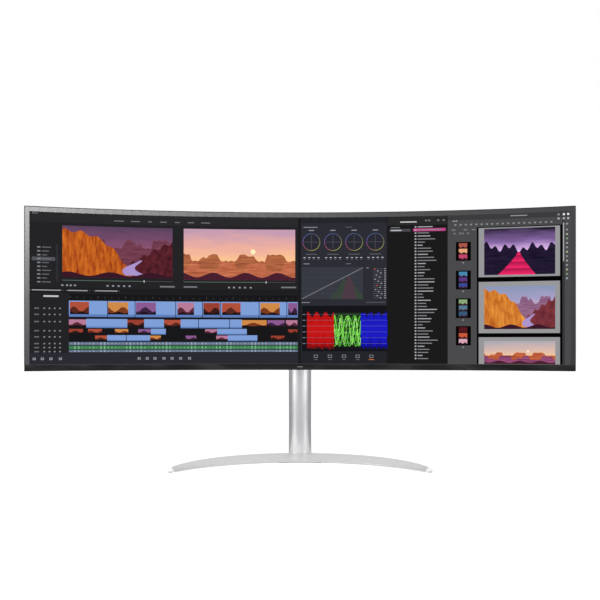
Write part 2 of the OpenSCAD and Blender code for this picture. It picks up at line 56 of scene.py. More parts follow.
bpy.ops.object.camera_add(location=EYE, rotation=(radians(90), 0, 0))
camera = bpy.context.object
camera.data.lens = 53.6
camera.data.shift_y = 0.0715
bpy.context.scene.camera = camera


# ---- Studio ----
# A white paper floor, an even white room and a few soft boxes: one on each side of the column, one high
# behind the viewer, and one that leaves a soft reflection on the glass at the upper left.
bpy.context.scene.view_settings.view_transform = "Standard"


def set_inputs(node, **values):
    """Sets the named inputs of a node, with _ for a space."""
    for name, value in values.items():
        node.inputs[name.replace("_", " ")].default_value = value
    return node


def add_node(tree, kind, **values):
    return set_inputs(tree.nodes.new("ShaderNode" + kind), **values)


def wire(tree, *wires):
    """Joins nodes. Each wire is a node, its output, the next node, and that one's input."""
    for source, output, target, entry in wires:
        tree.links.new(source.outputs[output], target.inputs[entry])


def ramp_of(tree, value, *stops):
    """A colour for a value from 0 to 1, blended between stops of position and colour."""
    ramp = add_node(tree, "ValToRGB")
    ends = ramp.color_ramp.elements
    for end, (position, colour) in zip(list(ends), (stops[0], stops[-1])):
        end.position, end.color = position, (*colour, 1)
    for position, colour in stops[1:-1]:
        ends.new(position).color = (*colour, 1)
    tree.links.new(value, ramp.inputs["Fac"])
    return ramp.outputs["Color"]


bpy.ops.mesh.primitive_plane_add(size=24, location=(0, 4, 0))
floor = bpy.context.object
floor.name = "paper_floor"
floor.visible_glossy = False
paper = bpy.data.materials.new("paper")
paper.use_nodes = True
set_inputs(paper.node_tree.nodes["Principled BSDF"], Base_Color=(0.97, 0.97, 0.97, 1), Roughness=0.9,
           Specular_IOR_Level=0, Emission_Color=(1, 1, 1, 1), Emission_Strength=0.1)
floor.data.materials.append(paper)

world = bpy.data.worlds.new("room")
bpy.context.scene.world = world
world.use_nodes = True
room = world.node_tree
room.nodes.clear()
direction = add_node(room, "TexCoord")
parts = add_node(room, "SeparateXYZ")
nearer = add_node(room, "MapRange", From_Min=-0.3, From_Max=-1.0, To_Max=0.26)
lifted = add_node(room, "VectorMath")
ray = add_node(room, "LightPath")
seen = add_node(room, "Mix")
seen.data_type = "RGBA"
seen.inputs["B"].default_value = (1, 1, 1, 1)
backdrop = add_node(room, "Background")
out = add_node(room, "OutputWorld")
wire(room, (direction, "Generated", parts, 0), (parts, "Y", nearer, "Value"))
dusk_to_day = ramp_of(room, parts.outputs["Z"], (0.02, (0.34, 0.34, 0.35)), (0.42, (1, 1, 1)))
room.links.new(dusk_to_day, lifted.inputs[0])
wire(room, (nearer, "Result", lifted, 1), (ray, "Is Camera Ray", seen, "Factor"),
     (lifted, "Vector", seen, "A"), (seen, "Result", backdrop, "Color"), (backdrop, 0, out, 0))


def soft_box(name, place, aim, width, height, watts):
    bpy.ops.object.light_add(type="AREA", location=place)
    lamp = bpy.context.object
    lamp.name = name
    lamp.rotation_euler = (Vector(aim) - Vector(place)).to_track_quat("-Z", "Y").to_euler()
    lamp.data.shape = "RECTANGLE"
    lamp.data.size = width
    lamp.data.size_y = height
    lamp.data.energy = watts
    return lamp


soft_box("key_box", (-0.6, -2.6, 3.0), (0, 0, 0.25), 1.6, 1.0, 26)
soft_box("left_strip", (-1.36, -0.80, 0.35), (0, 0.12, 0.15), 1.25, 0.9, 7.6)
soft_box("right_strip", (1.36, -0.80, 0.35), (0, 0.12, 0.15), 1.25, 0.9, 6.8)
glare_box = soft_box("glare_box", (0.96, -3.1, 1.32), (-0.5, -0.1, 0.55), 0.9, 0.9, 105)
glare_box.data.shape = "DISK"
glass_only = bpy.data.collections.new("glass_only")
glare_box.light_linking.receiver_collection = glass_only


# ---- Stand: brushed facing of the base ----
# A sheet of brushed aluminium bonded to the sloping front of the base. Its brush lines follow the
# curve of the crescent, and its edges are eased by hand.
MM = 0.001


def socket(tree, name, direction, kind, value=None):
    made = tree.interface.new_socket(name=name, in_out=direction, socket_type=kind)
    if value is not None:
        made.default_value = value


def brushed_group():
    """Fine parallel scratches: long in X of the vector they are given, narrow in Y and Z."""
    tree = bpy.data.node_groups.new("brush_lines", "ShaderNodeTree")
    socket(tree, "Vector", "INPUT", "NodeSocketVector")
    socket(tree, "Stretch", "INPUT", "NodeSocketVector", (4, 900, 900))
    socket(tree, "Depth", "INPUT", "NodeSocketFloat", 0.1)
    socket(tree, "Lines", "OUTPUT", "NodeSocketFloat")
    socket(tree, "Normal", "OUTPUT", "NodeSocketVector")
    given, made = tree.nodes.new("NodeGroupInput"), tree.nodes.new("NodeGroupOutput")
    scaled = add_node(tree, "VectorMath")
    scaled.operation = "MULTIPLY"
    noise = add_node(tree, "TexNoise", Scale=1, Detail=5, Roughness=0.65)
    bump = add_node(tree, "Bump", Distance=0.0004)
    wire(tree, (given, "Vector", scaled, 0), (given, "Stretch", scaled, 1),
         (scaled, "Vector", noise, "Vector"), (noise, "Fac", bump, "Height"),
         (given, "Depth", bump, "Strength"), (noise, "Fac", made, "Lines"),
         (bump, "Normal", made, "Normal"))
    return tree


BRUSH = brushed_group()


def add_group(tree, group, **values):
    node = tree.nodes.new("ShaderNodeGroup")
    node.node_tree = group
    return set_inputs(node, **values)


def principled(name, colour, roughness, metallic=0.0):
    material = bpy.data.materials.new(name)
    material.use_nodes = True
    shader = material.node_tree.nodes["Principled BSDF"]
    return material, set_inputs(shader, Base_Color=(*colour, 1), Roughness=roughness, Metallic=metallic)


def between(tree, value, low, high):
    """Maps a 0 to 1 value to a range, for a roughness."""
    ranged = add_node(tree, "MapRange", To_Min=low, To_Max=high)
    tree.links.new(value, ranged.inputs["Value"])
    return ranged.outputs["Result"]


def tinted(tree, value, dark, light):
    return ramp_of(tree, value, (0.3, dark), (0.7, light))


def brushed_metal(name, dark, light, rough, stretch, depth, polar_about=None):
    """Brushed metal. With polar_about, the lines run in circles about that point."""
    material, shader = principled(name, light, rough[0], 1.0)
    tree = material.node_tree
    place = add_node(tree, "TexCoord").outputs["Object"]
    if polar_about:
        moved = add_node(tree, "Mapping", Location=polar_about)
        tree.links.new(place, moved.inputs["Vector"])
        reach = add_node(tree, "VectorMath")
        reach.operation = "LENGTH"
        apart = add_node(tree, "SeparateXYZ")
        angle = add_node(tree, "Math")
        angle.operation = "ARCTAN2"
        polar = add_node(tree, "CombineXYZ")
        wire(tree, (moved, 0, reach, 0), (moved, 0, apart, 0), (apart, "X", angle, 0),
             (apart, "Y", angle, 1), (angle, 0, polar, "X"), (reach, "Value", polar, "Y"))
        place = polar.outputs[0]
    lines = add_group(tree, BRUSH, Stretch=stretch, Depth=depth)
    tree.links.new(place, lines.inputs["Vector"])
    tree.links.new(tinted(tree, lines.outputs["Lines"], dark, light), shader.inputs["Base Color"])
    tree.links.new(between(tree, lines.outputs["Lines"], *rough), shader.inputs["Roughness"])
    wire(tree, (lines, "Normal", shader, "Normal"))
    return material


def dress(material, *node_names):
    """Gives carried-over parts their finish."""
    for node_name in node_names:
        mesh = nodes[node_name].data
        mesh.materials.clear()
        mesh.materials.append(material)


def pick_nothing():
    if bpy.context.mode != "OBJECT":
        bpy.ops.object.mode_set(mode="OBJECT")
    bpy.ops.object.select_all(action="DESELECT")


def work_on(piece):
    pick_nothing()
    piece.select_set(True)
    bpy.context.view_layer.objects.active = piece


def edit_all(piece):
    work_on(piece)
    bpy.ops.object.mode_set(mode="EDIT")
    bpy.ops.mesh.select_all(action="SELECT")


def apply_modifiers(piece):
    work_on(piece)
    for modifier in list(piece.modifiers):
        bpy.ops.object.modifier_apply(modifier=modifier.name)


def eased(piece, width, segments=2, angle=35):
    """Rounds the sharp edges, as tooling or a file does."""
    bevel = piece.modifiers.new("ease", "BEVEL")
    bevel.width = width
    bevel.segments = segments
    bevel.limit_method = "ANGLE"
    bevel.angle_limit = radians(angle)
    bevel.use_clamp_overlap = True
    apply_modifiers(piece)
    smooth(piece)


def smooth(piece, angle=30):
    work_on(piece)
    bpy.ops.object.shade_smooth_by_angle(angle=radians(angle))


def finish_piece(piece, body, material):
    """Puts the piece's place into its mesh, and gives it its finish and its body."""
    work_on(piece)
    bpy.ops.object.transform_apply(location=True, rotation=True, scale=True)
    if material is not None:
        piece.data.materials.clear()
        piece.data.materials.append(material)
    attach(piece, body)
    return piece


def refined(node_name, new_name, body, material, width=0.0, segments=2, angle=35):
    """A merged, smooth-shaded copy of a part, with eased edges if a width is given. It stands for
    that part."""
    pick_nothing()
    piece = bpy.data.objects.new(new_name, nodes[node_name].data.copy())
    bpy.context.scene.collection.objects.link(piece)
    edit_all(piece)
    bpy.ops.mesh.remove_doubles(threshold=0.00002)
    if width:
        bpy.ops.mesh.dissolve_limited(angle_limit=radians(0.5))
    bpy.ops.object.mode_set(mode="OBJECT")
    if width:
        eased(piece, width, segments, angle)
    else:
        smooth(piece)
    finish_piece(piece, body, material)
    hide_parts(node_name)
    return piece


crescent_centre = (0, 0.183, 0)
facing_metal = brushed_metal(
    "brushed_facing_metal", (0.60, 0.60, 0.605), (0.76, 0.76, 0.765), (0.42, 0.55),
    (14, 900, 1), 0.05, polar_about=crescent_centre)
refined("base_facing", "facing_sheet", "base", facing_metal, 0.0004, 2, 40)


# ---- Stand: base casting and hub ----
# The heavy core of the base is a cast plate, painted white with a fine satin texture. The steel hub
# under the column is let into it and painted with it.
def speckle_group():
    """Fine uneven grain with a second, broader drift, for paint and moulded plastic."""
    tree = bpy.data.node_groups.new("fine_grain", "ShaderNodeTree")
    socket(tree, "Scale", "INPUT", "NodeSocketFloat", 900.0)
    socket(tree, "Depth", "INPUT", "NodeSocketFloat", 0.1)
    socket(tree, "Drift", "OUTPUT", "NodeSocketFloat")
    socket(tree, "Grain", "OUTPUT", "NodeSocketFloat")
    socket(tree, "Normal", "OUTPUT", "NodeSocketVector")
    given, made = tree.nodes.new("NodeGroupInput"), tree.nodes.new("NodeGroupOutput")
    place = add_node(tree, "TexCoord")
    grain = add_node(tree, "TexNoise", Detail=3)
    drift = add_node(tree, "TexNoise", Scale=9, Detail=4)
    bump = add_node(tree, "Bump", Distance=0.0002)
    wire(tree, (place, "Object", grain, "Vector"), (place, "Object", drift, "Vector"),
         (given, "Scale", grain, "Scale"), (grain, "Fac", bump, "Height"),
         (given, "Depth", bump, "Strength"), (drift, "Fac", made, "Drift"), (grain, "Fac", made, "Grain"),
         (bump, "Normal", made, "Normal"))
    return tree


SPECKLE = speckle_group()


def moulded(name, dark, light, rough, scale=900.0, depth=0.1, metallic=0.0, coat=0.0, by="Drift"):
    """Paint, rubber or moulded plastic: a slow drift of tone and gloss over a fine grain."""
    material, shader = principled(name, light, rough[0], metallic)
    tree = material.node_tree
    grain = add_group(tree, SPECKLE, Scale=scale, Depth=depth)
    tree.links.new(tinted(tree, grain.outputs[by], dark, light), shader.inputs["Base Color"])
    tree.links.new(between(tree, grain.outputs["Grain"], *rough), shader.inputs["Roughness"])
    wire(tree, (grain, "Normal", shader, "Normal"))
    set_inputs(shader, Coat_Weight=coat, Coat_Roughness=0.12)
    return material


white_paint = moulded("white_paint", (0.80, 0.80, 0.80), (0.88, 0.88, 0.88), (0.34, 0.46), 1400, 0.12)
refined("base_core", "base_casting", "base", white_paint, 0.0006, 2, 30)
dress(white_paint, "swivel_housing")


# ---- Stand: feet ----
# Seven low rubber strips are bonded under the base, so that it grips the desk. They are matt, nearly
# black and slightly dusty.
foot_rubber = moulded("foot_rubber", (0.035, 0.035, 0.035), (0.07, 0.07, 0.068), (0.72, 0.92), 1600, 0.3)
refined("foot_pads", "rubber_feet", "base", foot_rubber, 0.0003, 2, 40)


# ---- Stand: swivel bearing ----
# An ivory acetal bush is turned from bar and pressed into the hub. Its flange carries the column's
# foot, which turns in it.
acetal = moulded("acetal", (0.72, 0.70, 0.62), (0.82, 0.80, 0.72), (0.30, 0.42), 700, 0.05)
dress(acetal, "swivel_bush")


# ---- Stand: column ----
# A drawn aluminium tube, turned and satin-anodised, with faint lines round it from the lathe.
# The foot is turned from the same bar and pressed into its lower end.
column_metal = brushed_metal(
    "column_aluminium", (0.74, 0.74, 0.745), (0.84, 0.84, 0.845), (0.34, 0.42), (60, 60, 1500), 0.02)
for turned in ("column_tube", "column_foot"):
    refined(turned, turned + "_finished", "column", column_metal, 0.0005, 2, 50)


# ---- Stand: column cap, slot liner and rod block ----
# Black nylon mouldings, pushed into the tube. The cap closes it and holds the rods, the block holds
# their lower ends, and the liner edges the slot.
black_nylon = moulded("black_nylon", (0.018, 0.018, 0.020), (0.035, 0.035, 0.037), (0.42, 0.58), 1300, 0.2)
refined("column_cap", "column_lid", "column", black_nylon, 0.0008, 3, 50)
dress(black_nylon, "rod_block", "slot_liner")


# ---- Stand: cable clip ----
# A springy clip of black nylon snaps round the column and stays by its grip. Its side loop has a mouth
# for dropping leads in.
refined("cable_clip", "lead_clip", "column", black_nylon, 0.0010, 3, 40)


# ---- Stand: counterbalance ----
# A coiled band of blued spring steel unrolls from a drum on the carriage, which slides on two ground
# steel rods. The band's free end is held at the top by a zinc-plated anchor.
blued_steel = brushed_metal(
    "blued_steel", (0.28, 0.31, 0.36), (0.46, 0.50, 0.56), (0.22, 0.34), (900, 900, 40), 0.05)
ground_steel = brushed_metal(
    "ground_steel", (0.55, 0.55, 0.56), (0.72, 0.72, 0.73), (0.16, 0.26), (900, 900, 1800), 0.03)
zinc_plate = moulded(
    "zinc_plate", (0.50, 0.51, 0.53), (0.64, 0.65, 0.67), (0.26, 0.40), 240, 0.05, 1.0, by="Grain")
dress(blued_steel, "spring_tape", "spring_drum")
dress(ground_steel, "guide_rods", "drum_pin")
dress(zinc_plate, "spring_anchor")
dress(acetal, "guide_bushes")


def ring_of(name, place, major, minor, axis_turn):
    """A thin round bead."""
    pick_nothing()
    bpy.ops.mesh.primitive_torus_add(
        location=place, rotation=axis_turn, major_radius=major, minor_radius=minor,
        major_segments=48, minor_segments=8)
    bead = bpy.context.object
    bead.name = name
    smooth(bead, 180)
    return bead


def joined(pieces, name):
    pick_nothing()
    for piece in pieces:
        piece.select_set(True)
    bpy.context.view_layer.objects.active = pieces[0]
    bpy.ops.object.join()
    made = bpy.context.object
    made.name = name
    return made


drum_low, drum_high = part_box("spring_drum")
drum_middle = (drum_low + drum_high) / 2
edge_out, edge_r = 0.05 * MM, 0.16 * MM
coils = [ring_of("coil", (side * (drum_high.x + edge_out), drum_middle.y, drum_middle.z),
                 radius * MM, edge_r, (0, radians(90), 0))
         for side in (-1, 1) for radius in (4, 5.5, 7, 8.5, 10)]
finish_piece(joined(coils, "coiled_band_edges"), "drum", blued_steel)


# ---- Stand: base screw and folding ring ----
# A flat, zinc-plated steel screw clamps the column from below. A ground wire ring is hinged to its
# head, and folds out to turn it by hand.
dress(zinc_plate, "base_screw")
refined("screw_ring", "turning_ring", "fold_ring", ground_steel, 0.0003, 3, 40)


# ---- Carriage and neck ----
# The carriage is a milled aluminium block. The neck is screwed to it, and passes through the slot to
# the hinge barrel, where bronze washers rub against the bracket.
milled_aluminium = brushed_metal(
    "milled_aluminium", (0.58, 0.58, 0.60), (0.74, 0.74, 0.76), (0.28, 0.40), (300, 300, 900), 0.06)
dress(milled_aluminium, "carriage")
refined("neck_arm", "neck_forging", "lift_carriage", milled_aluminium, 0.0008, 3, 40)

black_oxide = moulded(
    "black_oxide", (0.020, 0.020, 0.022), (0.045, 0.045, 0.048), (0.34, 0.5), 800, 0.08, 0.9)
bronze = brushed_metal(
    "bearing_bronze", (0.42, 0.29, 0.12), (0.62, 0.45, 0.20), (0.30, 0.44), (900, 120, 120), 0.05)
dress(black_oxide, "neck_screws")
dress(bronze, "friction_washers")
refined("hinge_pin", "tilt_pin", "lift_carriage", ground_steel, 0.0005, 3, 50)


# ---- Mount: bracket, plate and screws ----
# All three plates are pressed and zinc-plated steel. Four black socket screws hold the hinge bracket
# to the plate that hooks into the head.
refined("tilt_bracket", "hinge_bracket", "head", zinc_plate, 0.0006, 2, 40)
refined("mount_plate", "hook_plate", "head", zinc_plate, 0.0006, 2, 40)
dress(zinc_plate, "rear_plate")


def socket_screw(name, head_middle, head_radius, head_height, key_radius):
    """A round screw head, along Y, with a hexagonal key hole sunk in its rear face."""
    pick_nothing()
    bpy.ops.mesh.primitive_cylinder_add(
        vertices=30, radius=head_radius, depth=head_height, location=head_middle,
        rotation=(radians(-90), 0, 0), end_fill_type="NGON")
    head = bpy.context.object
    head.name = name
    bpy.ops.object.transform_apply(location=False, rotation=True, scale=False)
    bpy.ops.object.mode_set(mode="EDIT")
    bpy.ops.mesh.select_all(action="DESELECT")
    net = bmesh.from_edit_mesh(head.data)
    rear = max(net.faces, key=lambda face: face.calc_center_median().y)
    rear.select = True
    bmesh.update_edit_mesh(head.data)
    bpy.ops.mesh.inset(thickness=head_radius * 0.12)
    bpy.ops.transform.translate(value=(0, head_height * 0.06, 0))
    bpy.ops.mesh.inset(thickness=head_radius * 0.88 - key_radius)
    bpy.ops.mesh.extrude_region_move(TRANSFORM_OT_translate={"value": (0, -head_height * 0.55, 0)})
    bpy.ops.object.mode_set(mode="OBJECT")
    smooth(head, 40)
    return head


screws_low, screws_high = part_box("mount_screws")
screw_r, head_height, key_r = 4.2 * MM, 1.9 * MM, 1.9 * MM
head_y = screws_high.y - 0.9 * MM
heads = [socket_screw("head", (x, head_y, z), screw_r, head_height, key_r)
         for x in (screws_low.x + screw_r, screws_high.x - screw_r)
         for z in (screws_low.z + screw_r, screws_high.z - screw_r)]
finish_piece(joined(heads, "bracket_screw_heads"), "head", black_oxide)
dress(black_oxide, "mount_screws")


# ---- Mount: release button and spring ----
# A black nylon push button under the plate lifts the latch bar against a small wire spring. Moulded
# ribs give the thumb a grip.
refined("release_button", "latch_button", "release", black_nylon, 0.0006, 3, 40)


def faces_outward(piece):
    edit_all(piece)
    bpy.ops.mesh.normals_make_consistent(inside=False)
    bpy.ops.object.mode_set(mode="OBJECT")


spring_low, spring_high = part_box("release_spring")
spring_y = (spring_low.y + spring_high.y) / 2
spring_length = spring_high.z - spring_low.z
wire_r = 0.3 * MM
spring_turns = 8
pick_nothing()
bpy.ops.mesh.primitive_circle_add(vertices=8, radius=wire_r, rotation=(pi / 2, 0, 0),
                                  location=(spring_high.x - wire_r, 0, 0))
latch_spring = bpy.context.object
latch_spring.name = "latch_spring"
bpy.ops.object.transform_apply(location=True, rotation=True, scale=False)
winding = latch_spring.modifiers.new("winding", "SCREW")
winding.steps = winding.render_steps = 20
winding.iterations = spring_turns
winding.screw_offset = (spring_length - 2 * wire_r) / spring_turns
apply_modifiers(latch_spring)
edit_all(latch_spring)
bpy.ops.transform.translate(value=(0, spring_y, spring_low.z + wire_r))
bpy.ops.mesh.fill_holes(sides=8)
faces_outward(latch_spring)
smooth(latch_spring, 60)
finish_piece(latch_spring, "head", ground_steel)
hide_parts("release_spring")
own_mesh(latch_spring)

button_low, button_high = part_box("release_button")
first_rib, rib_pitch = 2.8 * MM, 2.2 * MM
rib_size = (20 * MM, 0.7 * MM, 0.8 * MM)
ribs = []
for row in range(4):
    bpy.ops.mesh.primitive_cube_add(
        size=1, location=(0, button_high.y, button_low.z + first_rib + row * rib_pitch))
    ribs.append(bpy.context.object)
    bpy.ops.transform.resize(value=rib_size)
    bpy.ops.object.transform_apply(location=False, rotation=False, scale=True)
    eased(ribs[-1], 0.0002, 2)
finish_piece(joined(ribs, "latch_button_ribs"), "release", black_nylon)


# ---- Head: display glass ----
# The outer sheet is nearly black when unlit, and glossy at the border. Behind it are the diffusing
# films, the acrylic light guide, the reflector and the lamp strip, all held in a black frame.
glass_black, shader = principled("front_glass_black", (0.006, 0.006, 0.008), 0.22)
set_inputs(shader, Specular_IOR_Level=0.5)
tree = glass_black.node_tree
haze = add_group(tree, SPECKLE, Scale=3000.0, Depth=0.01)
tree.links.new(between(tree, haze.outputs["Grain"], 0.27, 0.33), shader.inputs["Roughness"])

film = moulded("diffuser_film", (0.84, 0.84, 0.84), (0.92, 0.92, 0.92), (0.40, 0.55), 400, 0.02)
acrylic = moulded("clear_acrylic", (0.78, 0.82, 0.84), (0.88, 0.92, 0.94), (0.05, 0.12), 120, 0.01, coat=0.5)
lamp_yellow = moulded("lamp_phosphor", (0.80, 0.74, 0.48), (0.92, 0.88, 0.66), (0.35, 0.5), 1500, 0.1)
dress(film, "optical_sheets", "reflector_sheet")
dress(acrylic, "light_guide")
dress(lamp_yellow, "led_bar")
dress(black_nylon, "panel_frame")
dress(zinc_plate, "panel_chassis")


# ---- Head: outer frame, chin and badge ----
# A thin glossy black frame runs round three sides. The satin chin strip closes the bottom, with a fine lip
# along its top, coloured a lighter grey than the chin as a painted highlight of its edge, and a plain metal
# bar in its middle.
frame_gloss = moulded("frame_gloss", (0.006, 0.006, 0.007), (0.010, 0.010, 0.011), (0.2, 0.3), 1500, 0.01)
chin_satin = moulded("chin_satin", (0.004, 0.004, 0.0045), (0.007, 0.007, 0.0075), (0.40, 0.5), 1500, 0.03)
set_inputs(chin_satin.node_tree.nodes["Principled BSDF"], Specular_IOR_Level=0.2)
refined("outer_frame", "thin_frame", "head", frame_gloss, 0.0002, 2, 50)
refined("bottom_chin", "chin_strip", "head", chin_satin, 0.0002, 2, 50)

glass_low, glass_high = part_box("lcd_cell")
head_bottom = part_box("bottom_chin")[0].z
CURVE = 1.8


def on_curve(along, up, out_by):
    """A point on the screen's curve: metres along it from the middle, up from the head's lower edge,
    and out from the glass towards the viewer."""
    turn = along / CURVE
    reach = CURVE - out_by
    return Vector((reach * sin(turn), reach * cos(turn) - CURVE, head_bottom + up))


def curved_strip(name, half_length, up_low, up_high, out_back, out_front):
    """A long bar bent to the screen's curve, in metres."""
    pick_nothing()
    bpy.ops.mesh.primitive_grid_add(x_subdivisions=96, y_subdivisions=1, size=2)
    strip = bpy.context.object
    strip.name = name
    edit_all(strip)
    bpy.ops.mesh.extrude_region_move(TRANSFORM_OT_translate={"value": (0, 0, 1)})
    bpy.ops.object.mode_set(mode="OBJECT")
    for v in strip.data.vertices:
        up = up_low if v.co.y < 0 else up_high
        out_by = out_front if v.co.z > 0.5 else out_back
        v.co = on_curve(v.co.x * half_length, up, out_by)
    faces_outward(strip)
    return strip


HALF_ARC = 0.6077
# The lip is real, but its grey, lighter than the chin, is a painted highlight of the light caught along the
# chin's top edge.
lip_painted_highlight = moulded("chin_lip_painted_highlight", (0.016, 0.016, 0.017), (0.024, 0.024, 0.025), (0.3, 0.4), 1500, 0.02)
chin_lip = curved_strip(
    "chin_lip", HALF_ARC, up_low=0.0134, up_high=0.0142, out_back=0.0016, out_front=0.00195)
eased(chin_lip, 0.0001, 2)
finish_piece(chin_lip, "head", lip_painted_highlight)

badge_metal = brushed_metal(
    "badge_metal", (0.30, 0.30, 0.31), (0.42, 0.42, 0.43), (0.24, 0.36), (60, 900, 2400), 0.05)
refined("badge", "chin_bar", "head", badge_metal, 0.00025, 3, 40)
light_frost = moulded("light_frost", (0.78, 0.82, 0.86), (0.90, 0.93, 0.96), (0.40, 0.55), 900, 0.05)
dress(light_frost, "power_light")


# ---- Head: back cover and rear housing ----
# Both are white moulded plastic with a fine spark texture. The long cover follows the screen's curve,
# and the housing over the electronics is screwed to it.
cover_plastic = moulded("cover_plastic", (0.76, 0.76, 0.765), (0.83, 0.83, 0.835), (0.34, 0.46), 1500, 0.14)
for cover, moulding in (("back_cover", "back_shell"), ("rear_housing", "electronics_housing")):
    shell = refined(cover, moulding, "head", cover_plastic)
    even = shell.modifiers.new("even", "WEIGHTED_NORMAL")
    even.keep_sharp = True
    apply_modifiers(shell)


# ---- Display picture: backdrop and editing window ----
# The lit image lies on the face of the glass. It is made of flat patches of light, drawn on a plane in
# millimetres along the arc and above the head's lower edge, and then laid on the curve.
CUT_EVERY = 20
# Greys of the bars and icons, from faint to bright
DIM, FAINT, MID, SOFT, BRIGHT = "5a5b60", "6a6b70", "8a8b90", "9a9ba0", "c8c9cc"


def light_of(code):
    """Red, green and blue light for a six-figure colour code."""
    shares = [int(code[i:i + 2], 16) / 255 for i in (0, 2, 4)]
    return [share / 12.92 if share <= 0.04045 else ((share + 0.055) / 1.055) ** 2.4 for share in shares]


def glowing(name):
    material, shader = principled(name, (0, 0, 0), 0.3)
    return material, set_inputs(shader, Specular_IOR_Level=0, Emission_Strength=1)


lights = {}


def lit_colour(code):
    if code not in lights:
        lights[code], shader = glowing("light_" + code)
        set_inputs(shader, Emission_Color=(*light_of(code), 1))
    return lights[code]


def open_sheet(name):
    pick_nothing()
    bpy.ops.mesh.primitive_plane_add(size=1)
    bpy.context.object.name = name
    bpy.ops.object.mode_set(mode="EDIT")
    bpy.ops.mesh.delete(type="VERT")
    return bpy.context.object


def give_selected(material):
    sheet = bpy.context.object
    if material.name not in sheet.data.materials:
        sheet.data.materials.append(material)
    sheet.active_material_index = sheet.data.materials.find(material.name)
    bpy.ops.object.material_slot_assign()


def layer_height(layer):
    return 0.04 + 0.05 * layer


def patch(code, left, right, low, high, layer=1, material=None):
    """One rectangle of light. Higher layers lie in front."""
    middle = ((left + right) / 2, (low + high) / 2, layer_height(layer))
    bpy.ops.mesh.primitive_plane_add(size=1, location=middle)
    bpy.ops.transform.resize(value=(right - left, high - low, 1), center_override=middle)
    give_selected(material or lit_colour(code))


def disc(code, middle, height, radius, layer, sides=24):
    bpy.ops.mesh.primitive_circle_add(
        vertices=sides, radius=radius, fill_type="NGON", location=(middle, height, layer_height(layer)))
    give_selected(lit_colour(code))


def marks(code, places, height, width, thick, layer=2):
    """Small bars of one size at several places along the arc."""
    for place in places:
        patch(code, place - width / 2, place + width / 2, height - thick / 2, height + thick / 2, layer)


def skyline(material, left, right, floor_up, heights, layer):
    """A dark or lit shape whose top follows the given heights, from left to right."""
    middle = ((left + right) / 2, floor_up + 1, layer_height(layer))
    bpy.ops.mesh.primitive_grid_add(
        x_subdivisions=len(heights) - 1, y_subdivisions=1, size=2, location=middle)
    bpy.ops.transform.resize(value=((right - left) / 2, 1, 1), center_override=middle)
    give_selected(material)
    net = bmesh.from_edit_mesh(bpy.context.object.data)
    top = sorted((v for v in net.verts if v.select and v.co.y > floor_up + 1), key=lambda v: v.co.x)
    for v, height in zip(top, heights):
        v.co.y = floor_up + height
    bmesh.update_edit_mesh(bpy.context.object.data)


def bend_to_screen(piece):
    """Cuts a flat piece across at even steps along the arc and lays it on the screen's curve."""
    work_on(piece)
    bpy.ops.object.mode_set(mode="EDIT")
    along = [v.co.x for v in bmesh.from_edit_mesh(piece.data).verts]
    for cut in range(ceil((min(along) + 0.01) / CUT_EVERY), ceil((max(along) - 0.01) / CUT_EVERY)):
        bpy.ops.mesh.select_all(action="SELECT")
        bpy.ops.mesh.bisect(plane_co=(cut * CUT_EVERY, 0, 0), plane_no=(1, 0, 0))
    bpy.ops.object.mode_set(mode="OBJECT")
    for v in piece.data.vertices:
        v.co = on_curve(v.co.x * MM, v.co.y * MM, v.co.z * MM)


def close_sheet(sheet):
    bend_to_screen(sheet)
    finish_piece(sheet, "head", None)


glass_half = CURVE / MM * asin(glass_high.x / CURVE)
pick_nothing()
glass_middle = (0, ((glass_low.z + glass_high.z) / 2 - head_bottom) / MM, 0)
bpy.ops.mesh.primitive_plane_add(size=1)
glass = bpy.context.object
glass.name = "front_glass"
bpy.ops.object.mode_set(mode="EDIT")
bpy.ops.transform.translate(value=glass_middle)
bpy.ops.transform.resize(
    value=(2 * glass_half, (glass_high.z - glass_low.z) / MM, 1), center_override=glass_middle)
bpy.ops.mesh.select_all(action="SELECT")
bpy.ops.mesh.extrude_region_move(TRANSFORM_OT_translate={"value": (0, 0, -1.6)})
faces_outward(glass)
bend_to_screen(glass)
finish_piece(glass, "head", glass_black)
glass_only.objects.link(glass)
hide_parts("lcd_cell")

backdrop_sheet = open_sheet("picture_backdrop")
patch("1c1c1e", -597, 597, 14.5, 347, 0)
close_sheet(backdrop_sheet)

editor = open_sheet("editing_window")
patch("242427", -596, -4, 14.5, 347)
patch("2a2a2d", -596, -4, 325.5, 347, 2)
marks(MID, (-590, -585.5, -581), 343.5, 2.2, 2.2, 3)
for left, right in ((-417, -395), (-380, -360), (-342, -334), (-316, -301), (-283, -272), (-254, -240),
                    (-224, -204)):
    patch("77787c", left, right, 331.6, 333.6, 3)
patch("303034", -541, -537, 196, 278, 2)
for row in range(10):
    up = 270 - row * 8.4
    if row == 3:
        patch("55565c", -592, -543, up - 4, up + 4, 2)
    patch(MID, -581, -574, up - 1.3, up + 1.3, 3)
    patch(FAINT, -571, -552 - 4 * (row % 3), up - 1.0, up + 1.0, 3)
for left, right, mark in ((-528, -288, -351), (-263, -11, -77)):
    patch("4a4b50", left, right, 198.4, 199.8, 3)
    patch("5f7a68", left, mark, 198.6, 199.6, 4)
    patch(BRIGHT, mark - 1, mark + 1, 196.4, 201.4, 5)
marks(SOFT, (-528, -518, -510, -501, -431, -419, -407, -395, -383), 188, 4.4, 3.2, 3)
marks(SOFT, (-161, -150, -137, -125, -112), 187, 4.4, 3.2, 3)
for left, right in ((-316, -283), (-263, -233), (-43, -9)):
    patch("77787c", left, right, 186, 189.4, 3)
patch("1e1e20", -596, -4, 171.5, 182, 2)
for left, right in ((-592, -531), (-517, -474), (-458, -409)):
    patch("a0a1a6", left, right, 175.6, 177.8, 3)
    marks(DIM, (left - 3, right + 4), 176.8, 2, 2, 3)
patch(BRIGHT, -568, -536, 161.8, 165.4, 3)
patch("18181a", -514, -5, 40, 170, 2)
for tick in range(34):
    patch(DIM, -512 + tick * 15, -511.2 + tick * 15, 160, 165 if tick % 4 == 0 else 162.6, 3)

